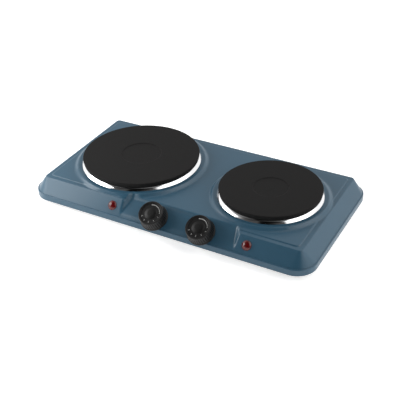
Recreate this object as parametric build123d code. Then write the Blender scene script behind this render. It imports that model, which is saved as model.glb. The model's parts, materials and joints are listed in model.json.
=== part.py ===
from build123d import *
import math
import os

# Double electric hot plate. Millimetres. The origin is the middle of the footprint on the surface
# that the feet stand on; +X runs along the length to the right, +Y to the back, +Z up.

# ---- driving dimensions -------------------------------------------------------------------------
LENGTH = 470.0            # skirt, outside
DEPTH = 245.0
BASE_CORNER_R = 31.0
SHEET = 1.0               # pressed steel of the housing and the base plate

SKIRT_Z = 6.4             # lower edge of the skirt
SHOULDER_Z = 16.4         # top of the vertical skirt
SHOULDER_W = 2.0          # width of the small shoulder between the skirt and the sloped side
CREASE_Z = 37.5           # top of the sloped side
CREASE_LENGTH = 432.5
CREASE_DEPTH = 208.2
CREASE_R = 5.0
EDGE_ROUND = 1.6          # rounding of the crease
SHOULDER_ROUND = 1.2
STEP_W = 6.5              # ledge round the plateau
STEP_RUN = 1.2            # slant of the step from the ledge up to the plateau
PLATEAU_Z = 38.7
PLATEAU_R = 5.0
PLATE_TOP_Z = 54.4

PLATES = {"left": (-102.0, 92.5), "right": (122.8, 77.5)}    # centre X, radius

RIM_Z = 42.6              # top of the raised rims that carry the trim rings
RIM_WIDTH = 8.6           # rim's flat top, past the plate's radius
HOLE_INSET = 3.9          # the hole in the rim is this much smaller than the plate
RIM_FOOT_W = 8.0          # spread of the rim's concave foot
RING_SHEET = 0.8
RING_OUT = 2.0            # ring's lower edge, past the plate's radius

PLATE_SIDE_H = 6.8        # visible side of the plate
PLATE_DEPTH = 17.0        # whole height of the casting
PLATE_CAST = 7.0          # thickness over the coils
COIL_R = 2.2
COVER_SHEET = 0.8
CHANNEL_IN = 26.0         # inner radius of the coil channel
CHANNEL_OUT = 11.0        # outer wall of the channel, in from the plate's radius
COIL_DROP = 11.0          # middle of the coils, below the plate's face
STUD_R = 3.0
PIN_R = 1.5
PIN_PITCH = 8.0
PIN_Y = -34.0             # row of terminal pins, from the plate's axis
TERMINAL_H = 7.0          # ceramic bar under the cover
STRAP_LOW = 31.5          # underside of the clamp strap's middle
STRAP_T = 1.6
STRAP_W = 22.0

CONTROL_X = 26.5          # middle of the recess
KNOB_OFFSET = 39.0        # knobs, left and right of CONTROL_X
LAMP_OFFSET = 111.5       # lamps, left and right of CONTROL_X
PANEL_TILT = 32.0         # recess floor, from horizontal
PANEL_Y = -121.0          # lower edge of the recess floor
PANEL_Z = 18.0
PANEL_BACK_Y = -91.5      # wall at the top of the recess
RECESS_HALF = 96.0        # half length of the recess along its lower edge
RECESS_TAPER_X = 8.0      # how far the end walls lean in from front to back
KNOB_UP = 12.6            # knob axis, up the floor from its lower edge

KNOB_BASE_R = 21.3
KNOB_BODY_R = 20.3
KNOB_TOP_R = 18.6
KNOB_H = 19.0
KNOB_EDGE = 0.5           # height of the rounding at the top of the grip
KNOB_GAP = 0.8            # under the knob's flange
KNOB_RIBS = 36
RIB_GROOVE_R = 1.0
BOSS_R = 5.6              # knob's boss round the shaft
SHAFT_R = 3.0
SHAFT_TOP = 13.5          # ends of the shaft, from the recess floor
SHAFT_TIP = -11.4
SHAFT_FLAT = 1.0          # depth of the flat
BUSH_R = 4.5
SCREW_SPACING = 22.0
BRACKET_T = 1.2
STACK_X = 15.5            # ceramic stack, beside the shaft
STACK_W = 7.2
STACK_LOW = -11.9         # underside of the upper spacer
LEAF_T = 0.6
RUN_FIT = 0.05            # radial clearance of the turning shaft
FIT = 0.1                 # radial clearance of a fixed pin or screw in its hole
M3_R = 1.5
M4_R = 2.0

LAMP_R = 7.1
LAMP_DOME_H = 3.9
LAMP_HOLE_R = 4.6

FOOT_X = 206.0
FOOT_Y = 106.0
FOOT_R = 9.5
BASE_Z = 7.4              # underside of the base plate
BASE_GAP = 0.3            # round the base plate, inside the skirt
CLIP_PLACES = [(-150, -1), (172, -1), (-180, 1), (140, 1)]    # X, front or back
CLIP_IN = 6.5             # screw, in from the skirt's inner face
CLIP_W = 14.0
CLIP_SHEET = 1.2
CLIP_H = 6.0
SCREW_HEAD_R = 3.6
BASE_SCREW_R = 1.75
SLOT_LENGTH = 46.0        # vent slots under each plate
SLOT_WIDTH = 4.0
SLOT_COLUMN = 33.0        # slot's middle, left and right of the plate's axis
SLOT_PITCH = 18.0
EARTH_PLACE = (-60.0, 78.0)

GLAND_X = -120.0
GLAND_Z = 15.0
GLAND_BORE_R = 3.6
GLAND_NECK_R = 5.6
GLAND_COLLAR_R = 7.0
GLAND_COLLAR_T = 4.0      # collar inside the sheet
PAD_HALF = 9.5            # upright pad in the back slope that carries the bush
PAD_Z = 24.0

MAINS_X = 16.0            # middle of the mains terminal block
MAINS_Y = 62.0
MAINS_PITCH = 12.0
MAINS_W = 16.0
MAINS_H = 15.0
MAINS_SCREW_R = 2.6
MAINS_FLOOR = 6.0         # bottom of the screw wells
WIRE_R = 1.3
THIN_WIRE_R = 0.8

BASE_TOP = BASE_Z + SHEET
STRAP_TOP = RIM_Z - SHEET         # the strap's ends press up under the rim
LIVE_Z = BASE_TOP + 4.0           # heights of the wire runs, so that they cross clear of each other
HEATER_Z = BASE_TOP + 7.4
NEUTRAL_Z = BASE_TOP + 8.6
LAMP_WIRE_Z = BASE_TOP + 1.2
SIDE_ANGLE_Y = math.degrees(math.atan2(CREASE_Z - SHOULDER_Z, (DEPTH - CREASE_DEPTH) / 2 - SHOULDER_W))
SIDE_ANGLE_X = math.degrees(math.atan2(CREASE_Z - SHOULDER_Z, (LENGTH - CREASE_LENGTH) / 2 - SHOULDER_W))
TILT = math.radians(PANEL_TILT)
KNOB_FRONT_Y = (PANEL_Y + (KNOB_UP - KNOB_TOP_R) * math.cos(TILT)
                - (KNOB_H - KNOB_EDGE) * math.sin(TILT))
GLAND_TAIL_Y = -KNOB_FRONT_Y      # the bush reaches as far behind the housing as the knobs in front
PANEL_NORMAL = Vector(0, -math.sin(TILT), math.cos(TILT))
KNOB_X = {"left": CONTROL_X - KNOB_OFFSET, "right": CONTROL_X + KNOB_OFFSET}
LAMP_X = {"left": CONTROL_X - LAMP_OFFSET, "right": CONTROL_X + LAMP_OFFSET}
MAINS_WAYS = [MAINS_X + MAINS_PITCH * i for i in (-1, 0, 1)]
PINS = [(PIN_PITCH * (i - 1.5), PIN_Y) for i in range(4)]    # terminal pins, from a plate's axis


# ---- helpers ------------------------------------------------------------------------------------
def slab(length, depth, radius, z0, z1):
    """Upright block with rounded corners in plan."""
    return Pos(0, 0, z0) * extrude(RectangleRounded(length, depth, radius), amount=z1 - z0)


def disc(radius, z0, z1, x=0.0, y=0.0):
    """Upright cylinder between two heights."""
    return Pos(x, y, (z0 + z1) / 2) * Cylinder(radius, z1 - z0)


def tube(r_out, r_in, z0, z1, x=0.0, y=0.0):
    """Upright tube between two heights."""
    return disc(r_out, z0, z1, x, y) - disc(r_in, z0 - 1, z1 + 1, x, y)


def block(x0, x1, y0, y1, z0, z1):
    """Box from its corner coordinates."""
    middle = Pos((x0 + x1) / 2, (y0 + y1) / 2, (z0 + z1) / 2)
    return middle * Box(x1 - x0, y1 - y0, z1 - z0)


def turned(points):
    """Solid of revolution about Z from an outline of (radius, height) points."""
    outline = make_face(Polyline(*[(r, 0, z) for r, z in points], close=True))
    return revolve(outline, Axis.Z, 360)


def group(solids):
    """Separate solids in one node."""
    return Compound(children=list(solids))


def panel_frame(x, up=KNOB_UP):
    """Frame on the recess floor: local Z is the floor's outward normal, local Y runs up it."""
    y = PANEL_Y + up * math.cos(TILT)
    z = PANEL_Z + up * math.sin(TILT)
    return Plane(origin=(x, y, z), x_dir=(1, 0, 0), z_dir=PANEL_NORMAL)


def fascia_frame(x):
    """Frame at the middle of the sloped front: local Z is its outward normal."""
    angle = math.radians(SIDE_ANGLE_Y)
    run = (CREASE_Z - SHOULDER_Z) / 2 / math.tan(angle)
    origin = (x, -CREASE_DEPTH / 2 - run, (CREASE_Z + SHOULDER_Z) / 2)
    return Plane(origin=origin, x_dir=(1, 0, 0), z_dir=(0, -math.sin(angle), math.cos(angle)))


def wire(points, radius, bend):
    """Round wire along straight runs joined by tangent arcs."""
    path = FilletPolyline(*points, radius=bend)
    start = Plane(origin=points[0], z_dir=Vector(*points[1]) - Vector(*points[0]))
    return sweep(start * Circle(radius), path=path)


# ---- housing ------------------------------------------------------------------------------------
def sloped_block(inset):
    """The sloped sides, moved inward by inset along their normals."""
    grown = []
    for z in (SHOULDER_Z - inset, CREASE_Z - inset):
        sizes = []
        for crease, angle in ((CREASE_LENGTH, SIDE_ANGLE_X), (CREASE_DEPTH, SIDE_ANGLE_Y)):
            a = math.radians(angle)
            sizes.append(crease + 2 * ((CREASE_Z - z) / math.tan(a) - inset / math.sin(a)))
        radius = CREASE_R if z > SHOULDER_Z else BASE_CORNER_R - SHOULDER_W
        grown.append(Pos(0, 0, z) * RectangleRounded(*sizes, radius - inset / 2))
    return loft(grown, ruled=True)


def rim_block(x, radius, inset):
    """Raised round rim with a concave foot, cut off where it would pass the crease."""
    top = RIM_Z - inset
    low = PLATEAU_Z - inset
    r0 = radius + RIM_WIDTH - inset / 2
    foot_r = r0 + RIM_FOOT_W
    root = low - 3
    lip = (r0 + 1.4, 0, top - 1.0)
    edges = [
        Line((0, 0, root), (foot_r, 0, root)),
        Line((foot_r, 0, root), (foot_r, 0, low)),
        ThreePointArc((foot_r, 0, low), (r0 + 3.6, 0, low + 0.3 * (top - low)), lip),
        ThreePointArc(lip, (r0 + 0.9, 0, top - 0.25), (r0, 0, top)),
        Line((r0, 0, top), (0, 0, top)),
        Line((0, 0, top), (0, 0, root)),
    ]
    rim = Pos(x, 0, 0) * revolve(make_face(Wire(edges)), Axis.Z, 360)
    trim = slab(CREASE_LENGTH - inset, CREASE_DEPTH - inset, CREASE_R, root - 1, top + 1)
    return rim & trim


def plateau_block(inset):
    """Plateau with its narrow slanted step."""
    length = CREASE_LENGTH - 2 * STEP_W - inset
    depth = CREASE_DEPTH - 2 * STEP_W - inset
    low = Pos(0, 0, CREASE_Z - inset) * RectangleRounded(length, depth, PLATEAU_R + STEP_RUN)
    top_face = RectangleRounded(length - 2 * STEP_RUN, depth - 2 * STEP_RUN, PLATEAU_R)
    high = Pos(0, 0, PLATEAU_Z - inset) * top_face
    return loft([low, high], ruled=True)


def recess_cut(inset):
    """Everything above the recess floor and inside its three walls, grown by inset."""
    top = 2 * CREASE_Z
    cut = block(-LENGTH / 2, LENGTH / 2, -DEPTH, PANEL_BACK_Y + inset, 0, top)
    floor = panel_frame(CONTROL_X)
    floor = Plane(origin=floor.origin - PANEL_NORMAL * inset, x_dir=(1, 0, 0), z_dir=PANEL_NORMAL)
    cut = split(cut, bisect_by=floor, keep=Keep.TOP)
    crease_y = -CREASE_DEPTH / 2
    for side in (-1, 1):
        edge_x = CONTROL_X + side * RECESS_HALF
        low = Vector(edge_x, PANEL_Y, PANEL_Z)
        crease = Vector(edge_x, crease_y, CREASE_Z)
        back = Vector(edge_x - side * RECESS_TAPER_X, PANEL_BACK_Y, PLATEAU_Z)
        normal = (crease - low).cross(back - crease).normalized()
        if normal.dot(Vector(CONTROL_X, crease_y, top) - crease) < 0:
            normal = -normal
        wall = Plane(origin=low - normal * inset, z_dir=normal)
        cut = split(cut, bisect_by=wall, keep=Keep.TOP)
    return cut


def housing_block(inset):
    """The whole housing as a solid, moved inward by inset."""
    floor_z = SKIRT_Z if inset == 0 else SKIRT_Z - 5
    size = (LENGTH - 2 * inset, DEPTH - 2 * inset, BASE_CORNER_R - inset)
    skirt = slab(*size, floor_z, SHOULDER_Z - inset)
    slope = sloped_block(inset)
    if inset == 0:
        skirt = fillet(skirt.edges().group_by(Axis.Z)[-1], SHOULDER_ROUND)
        slope = fillet(slope.edges().group_by(Axis.Z)[-1], EDGE_ROUND)
    half = PAD_HALF - inset
    pad = block(GLAND_X - half, GLAND_X + half, DEPTH / 3, DEPTH / 2 - inset, floor_z, PAD_Z - inset)
    solid = skirt + slope + pad + plateau_block(inset)
    for x, radius in PLATES.values():
        solid = solid + rim_block(x, radius, inset)
    return solid - recess_cut(inset)


def housing_holes():
    """Holes for the plates, shafts, thermostat screws and lamps, and the notch for the cord bush."""
    through = 12.0
    cuts = []
    for x, radius in PLATES.values():
        cuts.append(disc(radius - HOLE_INSET, PAD_Z, PLATE_TOP_Z, x))
    for x in KNOB_X.values():
        cuts.append(panel_frame(x) * Cylinder(BUSH_R + FIT, through))
        for side in (-1, 1):
            place = Pos(side * SCREW_SPACING / 2, 0, 0)
            cuts.append(panel_frame(x) * place * Cylinder(M3_R + FIT, through))
    for x in LAMP_X.values():
        cuts.append(fascia_frame(x) * Cylinder(LAMP_HOLE_R + FIT, through))
    notch_r = GLAND_NECK_R + FIT
    cuts.append(Pos(GLAND_X, DEPTH / 2, GLAND_Z) * Rot(90, 0, 0) * Cylinder(notch_r, through))
    half = through / 2
    cuts.append(block(GLAND_X - notch_r, GLAND_X + notch_r, DEPTH / 2 - half, DEPTH / 2 + half, 0, GLAND_Z))
    return cuts


def make_top_housing():
    """Pressed shell, open below."""
    shell = housing_block(0) - housing_block(SHEET)
    for cut in housing_holes():
        shell = shell - cut
    return shell


# ---- base ---------------------------------------------------------------------------------------
def clip_points():
    """Screw places of the base plate, with the outward direction of the skirt there."""
    inner_x = LENGTH / 2 - SHEET
    inner_y = DEPTH / 2 - SHEET
    points = [(x, side * (inner_y - CLIP_IN), 0, side) for x, side in CLIP_PLACES]
    points += [(side * (inner_x - CLIP_IN), 0, side, 0) for side in (-1, 1)]
    return points


def foot_points():
    """Middles of the four feet."""
    return [(sx * FOOT_X, sy * FOOT_Y) for sx in (-1, 1) for sy in (-1, 1)]


def make_base_plate():
    """Flat floor with vent slots under the plates and holes for its screws, feet and earth."""
    gap = 2 * (SHEET + BASE_GAP)
    plate = slab(LENGTH - gap, DEPTH - gap, BASE_CORNER_R - gap / 2, BASE_Z, BASE_TOP)
    for x, y, _, _ in clip_points():
        plate = plate - disc(BASE_SCREW_R + 0.25, 0, 20, x, y)
    for x, y in foot_points():
        plate = plate - disc(M4_R + FIT, 0, 20, x, y)
    for x, radius in PLATES.values():
        for row in range(-2, 3):
            for column in (-1, 1):
                slot = SlotOverall(SLOT_LENGTH, SLOT_WIDTH)
                place = Pos(x + column * SLOT_COLUMN, (row + 1) * SLOT_PITCH, BASE_Z - 1)
                plate = plate - place * extrude(slot, amount=SHEET + 2)
    notch = block(GLAND_X - 10, GLAND_X + 10, DEPTH / 2 - 12, DEPTH / 2, 0, 20)
    plate = plate - notch
    return plate - disc(M4_R + FIT, 0, 20, *EARTH_PLACE)


def make_base_clips():
    """Angle clips welded in the skirt: a foot on the base plate and a leg on the skirt."""
    clips = []
    for x, y, nx, ny in clip_points():
        foot = Pos(0, CLIP_IN / 2 - 3, 0) * Box(CLIP_W, CLIP_IN + 6, CLIP_SHEET)
        leg = Pos(0, CLIP_IN - CLIP_SHEET / 2, CLIP_H / 2) * Box(CLIP_W, CLIP_SHEET, CLIP_H)
        clip = foot + leg - Cylinder(BASE_SCREW_R, CLIP_H)
        turn = 0 if ny > 0 else 180
        if nx:
            turn = -90 if nx > 0 else 90
        clips.append(Pos(x, y, BASE_TOP + CLIP_SHEET / 2) * Rot(0, 0, turn) * clip)
    return group(clips)


def make_base_screws():
    """Pan-head self-tapping screws with a cross recess, heads under the base plate."""
    screws = []
    for x, y, _, _ in clip_points():
        screw = disc(SCREW_HEAD_R, BASE_Z - 2.0, BASE_Z, x, y)
        screw = fillet(screw.edges().group_by(Axis.Z)[0], 1.0)
        screw = screw + disc(BASE_SCREW_R - 0.02, BASE_Z, BASE_TOP + 5, x, y)
        for turn in (0, 90):
            screw = screw - Pos(x, y, BASE_Z - 2) * Rot(0, 0, turn) * Box(3.6, 0.9, 2.2)
        screws.append(screw)
    return group(screws)


def make_rubber_feet():
    """Tapered rubber feet with a pocket for the screw head."""
    feet = []
    for x, y in foot_points():
        foot = turned([(0, 0), (FOOT_R - 1.8, 0), (FOOT_R - 1.0, 0.8), (FOOT_R, BASE_Z), (0, BASE_Z)])
        foot = foot - disc(4.4, -1, 3.2) - disc(M4_R + FIT, -1, 10)
        feet.append(Pos(x, y, 0) * foot)
    return group(feet)


def make_foot_screws():
    """Slotted screws up through the feet and the base plate."""
    screws = []
    for x, y in foot_points():
        head = disc(4.0, 1.0, 3.2)
        head = fillet(head.edges().group_by(Axis.Z)[0], 0.8)
        screw = head + disc(M4_R, 3.2, BASE_TOP + 4.6)
        screws.append(Pos(x, y, 0) * (screw - Pos(0, 0, 1) * Box(5.0, 1.0, 1.6)))
    return group(screws)


def hex_nut(bore_r, across, height):
    """Plain hexagon nut standing on Z = 0."""
    nut = extrude(RegularPolygon(across / 2, 6, major_radius=False), amount=height)
    return nut - disc(bore_r, -1, height + 1)


def make_foot_nuts():
    """Nuts of the foot screws, on the base plate."""
    return group(Pos(x, y, BASE_TOP) * hex_nut(M4_R, 7.0, 3.2) for x, y in foot_points())


# ---- hotplates ----------------------------------------------------------------------------------
def make_hotplate(x, radius):
    """Cast-iron plate: flat ring face, dished middle, tapered side and a coil channel below."""
    dish = radius / 3
    outline = [
        (0, -0.9), (dish, -0.9), (dish + 1.2, 0), (radius - 0.9, 0), (radius - 0.25, -0.25),
        (radius, -0.9), (radius - 1.2, -PLATE_SIDE_H), (radius - 2.4, -PLATE_SIDE_H - 0.4),
        (radius - 5.4, -PLATE_SIDE_H - 0.6), (radius - 5.4, -PLATE_DEPTH),
        (radius - CHANNEL_OUT, -PLATE_DEPTH), (radius - CHANNEL_OUT, -PLATE_CAST),
        (CHANNEL_IN, -PLATE_CAST), (CHANNEL_IN, -PLATE_DEPTH), (0, -PLATE_DEPTH),
    ]
    plate = turned(outline) - disc(STUD_R, -PLATE_DEPTH - 1, -5.0)
    return Pos(x, 0, PLATE_TOP_Z) * plate


def coil_radii(radius):
    """Radii of the three loops, evenly spread over the channel."""
    outer = radius - CHANNEL_OUT - 6.0
    inner = CHANNEL_IN + 6.0
    return [inner + (outer - inner) * i / 2 for i in range(3)]


def make_heating_coil(x, radius):
    """Three separate resistance loops, each open towards the terminals."""
    loops = []
    for loop_r in coil_radii(radius):
        gap = math.degrees(5.0 / loop_r)
        path = CenterArc((0, 0), loop_r, -90 + gap, 360 - 2 * gap)
        start = Plane(origin=path @ 0, z_dir=path % 0)
        loop = sweep(start * Circle(COIL_R), path=path)
        loops.append(Pos(x, 0, PLATE_TOP_Z - COIL_DROP) * loop)
    return group(loops)


def make_coil_insulation(x, radius):
    """Pressed ceramic that fills the channel round the loops."""
    fill = tube(radius - CHANNEL_OUT, CHANNEL_IN, -PLATE_DEPTH + 0.5, -PLATE_CAST)
    fill = Pos(x, 0, PLATE_TOP_Z) * fill
    for loop_r in coil_radii(radius):
        groove = Pos(x, 0, PLATE_TOP_Z - COIL_DROP) * Torus(loop_r, COIL_R)
        fill = fill - groove
    for dx, dy in PINS:
        fill = fill - disc(PIN_R + 1.1, 0, PLATE_TOP_Z, x + dx, dy)
    return fill


def make_cover_disc(x, radius):
    """Thin steel cover under the plate, with holes for the stud and the terminals."""
    z1 = PLATE_TOP_Z - PLATE_DEPTH
    cover = disc(radius - 6.4, z1 - COVER_SHEET, z1, x) - disc(STUD_R + FIT, 0, PLATE_TOP_Z, x)
    return cover - block(x - 17.0, x + 17.0, PIN_Y - 4.0, PIN_Y + 4.0, 0, PLATE_TOP_Z)


def make_terminal_block(x, radius):
    """Ceramic bar that insulates the four pins where they leave the cover."""
    z1 = PLATE_TOP_Z - PLATE_DEPTH
    under = z1 - COVER_SHEET
    bar = block(x - 19, x + 19, PIN_Y - 6.0, PIN_Y + 6.0, under - TERMINAL_H, under)
    bar = fillet(bar.edges().filter_by(Axis.Z), 3.0)
    bar = bar + block(x - 16.8, x + 16.8, PIN_Y - 3.8, PIN_Y + 3.8, under, z1 + 0.5)
    for dx, dy in PINS:
        bar = bar - disc(PIN_R + FIT, 0, PLATE_TOP_Z, x + dx, dy)
    return bar


def make_terminal_pins(x, radius):
    """Stiff leads from the loops, ending in flat tabs under the ceramic."""
    top = PLATE_TOP_Z - COIL_DROP - COIL_R - 0.6
    low = PLATE_TOP_Z - PLATE_DEPTH - COVER_SHEET - TERMINAL_H
    pins = []
    for dx, dy in PINS:
        pin = disc(PIN_R, low - 1.0, top, x + dx, dy)
        pin = pin + block(x + dx - 0.4, x + dx + 0.4, dy - 3.2, dy + 3.2, low - 8.0, low - 0.5)
        pins.append(pin)
    return group(pins)


def make_clamp_strap(x, radius):
    """Bridge that bears on the underside of the rim and is pulled up by the centre nut."""
    reach = radius + 4.0
    low = STRAP_LOW
    points = [
        (-reach, STRAP_TOP - STRAP_T), (-reach, STRAP_TOP), (-radius + 2.0, STRAP_TOP),
        (-radius + 8.2, low + STRAP_T), (radius - 8.2, low + STRAP_T), (radius - 2.0, STRAP_TOP),
        (reach, STRAP_TOP), (reach, STRAP_TOP - STRAP_T), (radius - 2.6, STRAP_TOP - STRAP_T),
        (radius - 8.8, low), (-radius + 8.8, low), (-radius + 2.6, STRAP_TOP - STRAP_T),
    ]
    side = make_face(Polyline(*[(u, 0, z) for u, z in points], close=True))
    strap = extrude(side, amount=STRAP_W / 2, both=True)
    return Pos(x, 0, 0) * (strap - disc(STUD_R + FIT, 0, PLATE_TOP_Z))


def make_centre_stud(x, radius):
    """Threaded stud from the casting down through the strap."""
    return disc(STUD_R, STRAP_LOW - 9.0, PLATE_TOP_Z - 5.2, x)


def make_strap_washers():
    """Washers under the straps."""
    return group(tube(8.0, STUD_R + FIT, STRAP_LOW - 1.2, STRAP_LOW, x) for x, _ in PLATES.values())


def make_strap_nuts():
    """Nuts that pull the plates down on their rings."""
    nut = hex_nut(STUD_R, 10.0, 5.0)
    return group(Pos(x, 0, STRAP_LOW - 6.2) * nut for x, _ in PLATES.values())


def make_trim_ring(x, radius):
    """Bright spill ring: a convex skirt on the rim and a collar down through the hole."""
    t = RING_SHEET
    top = -PLATE_SIDE_H - 0.6
    low = RIM_Z - PLATE_TOP_Z
    outer = radius + RING_OUT
    collar = radius - HOLE_INSET - 0.3
    arc_out = ThreePointArc((outer, 0, low), (outer - 2.03, 0, low + 2.6), (collar + 1.4, 0, top))
    arc_in = ThreePointArc((collar, 0, top - t - 0.4), (outer - 3.1, 0, low + 2.35), (outer - 0.9, 0, low))
    edges = [
        arc_out,
        Line((collar + 1.4, 0, top), (collar - t, 0, top)),
        Line((collar - t, 0, top), (collar - t, 0, low - 3.5)),
        Line((collar - t, 0, low - 3.5), (collar, 0, low - 3.5)),
        Line((collar, 0, low - 3.5), (collar, 0, top - t - 0.4)),
        arc_in,
        Line((outer - 0.9, 0, low), (outer, 0, low)),
    ]
    return Pos(x, 0, PLATE_TOP_Z) * revolve(make_face(Wire(edges)), Axis.Z, 360)


# ---- controls -----------------------------------------------------------------------------------
def make_thermostat_bracket(x):
    """Steel plate under the recess floor that carries the shaft bush and the ceramic stack."""
    plate = block(-15, 23, -6.5, 6.5, -SHEET - BRACKET_T, -SHEET)
    plate = plate - Cylinder(BUSH_R + FIT, 20)
    for side in (-1, 1):
        plate = plate - Pos(side * SCREW_SPACING / 2, 0, 0) * Cylinder(M3_R, 20)
    plate = plate - Pos(STACK_X + STACK_W / 2, 0, 0) * Cylinder(M3_R, 20)
    return panel_frame(x) * plate


def make_shaft_bush(x):
    """Bush through the floor, flanged on the inside, that the shaft turns in."""
    bush = disc(BUSH_R, -SHEET - BRACKET_T, 1.8) + disc(6.0, -6.8, -SHEET - BRACKET_T)
    return panel_frame(x) * (bush - disc(SHAFT_R + RUN_FIT, -20, 20))


def make_control_shaft(x):
    """Turning spindle with a flat for the knob and a collar under the bush."""
    shaft = disc(SHAFT_R, SHAFT_TIP, SHAFT_TOP)
    shaft = shaft - block(SHAFT_R - SHAFT_FLAT, SHAFT_R + 1, -5, 5, 4.5, SHAFT_TOP + 1)
    shaft = shaft + disc(4.2, -8.8, -7.3)
    shaft = chamfer(shaft.edges().group_by(Axis.Z)[-1], 0.4)
    return panel_frame(x) * shaft


def make_thermostat_stack(x):
    """Ceramic spacers, screwed together, that hold the contact leaves."""
    stack = block(STACK_X, STACK_X + STACK_W, -5.5, 5.5, STACK_LOW, -SHEET - BRACKET_T)
    under = STACK_LOW - LEAF_T
    lower = block(STACK_X, STACK_X + STACK_W, -5.5, 5.5, under - 1.5, under)
    hole = Pos(STACK_X + STACK_W / 2, 0, 0) * Cylinder(M3_R + FIT, 60)
    return panel_frame(x) * group([stack - hole, lower - hole])


def make_thermostat_leaves(x):
    """Contact leaf under the shaft's tip and the shorter bimetal leaf, riveted in the stack."""
    under = STACK_LOW - LEAF_T
    leaf = block(-17, STACK_X + STACK_W, -4.0, 4.0, under, STACK_LOW)
    leaf = leaf - Pos(STACK_X + STACK_W / 2, 0, 0) * Cylinder(M3_R + FIT, 60)
    contact = disc(1.8, under - 0.8, under, -14.0)
    fixed = block(-18, -10, -4.0, 4.0, under - 1.5 - LEAF_T, under - 1.5)
    fixed = fixed + disc(1.8, under - 1.5, under - 1.0, -14.0)
    return panel_frame(x) * group([leaf + contact, fixed])


def make_thermostat_screws():
    """Pan-head screws from above, hidden by the knobs, and the one through each stack."""
    screws = []
    for x in KNOB_X.values():
        for side in (-1, 1):
            screw = disc(2.9, 0, 1.9) + disc(M3_R, -5.0, 0)
            screw = screw - Pos(0, 0, 1.9) * Box(4.0, 0.8, 1.4)
            screws.append(panel_frame(x) * Pos(side * SCREW_SPACING / 2, 0, 0) * screw)
        rivet = disc(M3_R, -14.0, -SHEET - 0.1)
        screws.append(panel_frame(x) * Pos(STACK_X + STACK_W / 2, 0, 0) * rivet)
    return group(screws)


def make_knob(x):
    """Hollow ribbed knob: flange, tapered grip, raised rim, sunk face and domed centre cap."""
    outline = [
        (0, KNOB_H - 3.6), (KNOB_TOP_R - 2.6, KNOB_H - 3.6), (KNOB_BODY_R - 2.6, 6.0),
        (KNOB_BASE_R - 2.4, KNOB_GAP), (KNOB_BASE_R - 0.6, KNOB_GAP),
        (KNOB_BASE_R, KNOB_GAP + 0.8), (KNOB_BASE_R - 0.4, KNOB_GAP + 2.4), (KNOB_BODY_R, KNOB_GAP + 3.0),
        (KNOB_TOP_R + 0.6, KNOB_H - 1.8), (KNOB_TOP_R, KNOB_H - KNOB_EDGE), (KNOB_TOP_R - 0.8, KNOB_H),
        (KNOB_TOP_R - 2.0, KNOB_H - 0.2), (KNOB_TOP_R - 2.6, KNOB_H - 1.2), (9.8, KNOB_H - 1.2),
        (9.2, KNOB_H - 0.4), (6.0, KNOB_H - 0.1), (0, KNOB_H),
    ]
    knob = turned(outline)
    boss = disc(BOSS_R, 4.2, KNOB_H - 3.0)
    bore = disc(SHAFT_R + RUN_FIT, 0, SHAFT_TOP + 0.2)
    bore = bore - block(SHAFT_R - SHAFT_FLAT + RUN_FIT, 8, -5, 5, 4.6, KNOB_H)
    knob = knob + boss - bore
    grip = KNOB_H - KNOB_GAP - 4.8
    lean = math.degrees(math.atan2(KNOB_BODY_R - KNOB_TOP_R - 0.6, grip))
    groove_h = grip - 1.2
    groove = Pos(KNOB_BODY_R + 0.2, 0, KNOB_GAP + 3.4) * Rot(0, -lean, 0)
    groove = groove * Pos(0, 0, groove_h / 2) * Cylinder(RIB_GROOVE_R, groove_h)
    for i in range(KNOB_RIBS):
        knob = knob - Rot(0, 0, 360 * i / KNOB_RIBS) * groove
    return panel_frame(x) * knob


def make_knob_clip(x):
    """Split spring ring round the knob's boss."""
    ring = tube(BOSS_R + 0.8, BOSS_R + FIT, 6.0, 11.0) - block(3, 8, -1.5, 1.5, 0, 20)
    return panel_frame(x) * ring


# ---- pilot lamps --------------------------------------------------------------------------------
def make_lamp_lens(x):
    """Red domed lens with a stem through the fascia."""
    rise = LAMP_DOME_H - 0.7
    ball_r = (LAMP_R ** 2 + rise ** 2) / (2 * rise)
    half = math.asin(LAMP_R / ball_r) / 2
    middle = (ball_r * math.sin(half), 0, LAMP_DOME_H - ball_r * (1 - math.cos(half)))
    arc = ThreePointArc((LAMP_R, 0, 0.7), middle, (0, 0, LAMP_DOME_H))
    edges = [
        arc,
        Line((0, 0, LAMP_DOME_H), (0, 0, 1.2)),
        Line((0, 0, 1.2), (LAMP_HOLE_R - 1.0, 0, 0.2)),
        Line((LAMP_HOLE_R - 1.0, 0, 0.2), (LAMP_HOLE_R - 1.0, 0, -7.0)),
        Line((LAMP_HOLE_R - 1.0, 0, -7.0), (LAMP_HOLE_R, 0, -7.0)),
        Line((LAMP_HOLE_R, 0, -7.0), (LAMP_HOLE_R, 0, 0)),
        Line((LAMP_HOLE_R, 0, 0), (LAMP_R, 0, 0)),
        Line((LAMP_R, 0, 0), (LAMP_R, 0, 0.7)),
    ]
    return fascia_frame(x) * revolve(make_face(Wire(edges)), Axis.Z, 360)


def make_lamp_body(x):
    """Neon capsule and resistor sleeve in the stem."""
    body = disc(3.3, -12.0, -0.8)
    body = fillet(body.edges().group_by(Axis.Z)[-1], 1.5)
    return fascia_frame(x) * (body + disc(LAMP_HOLE_R - 0.4, -12.0, -7.2))


def make_lamp_washers():
    """Toothed push-on washers that hold the lenses."""
    washers = []
    for x in LAMP_X.values():
        washer = tube(7.6, LAMP_HOLE_R + 0.02, -SHEET - 0.6, -SHEET)
        for turn in range(0, 360, 60):
            washer = washer - Rot(0, 0, turn) * block(4, 6.2, -0.5, 0.5, -5, 5)
        washers.append(fascia_frame(x) * washer)
    return group(washers)


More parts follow.
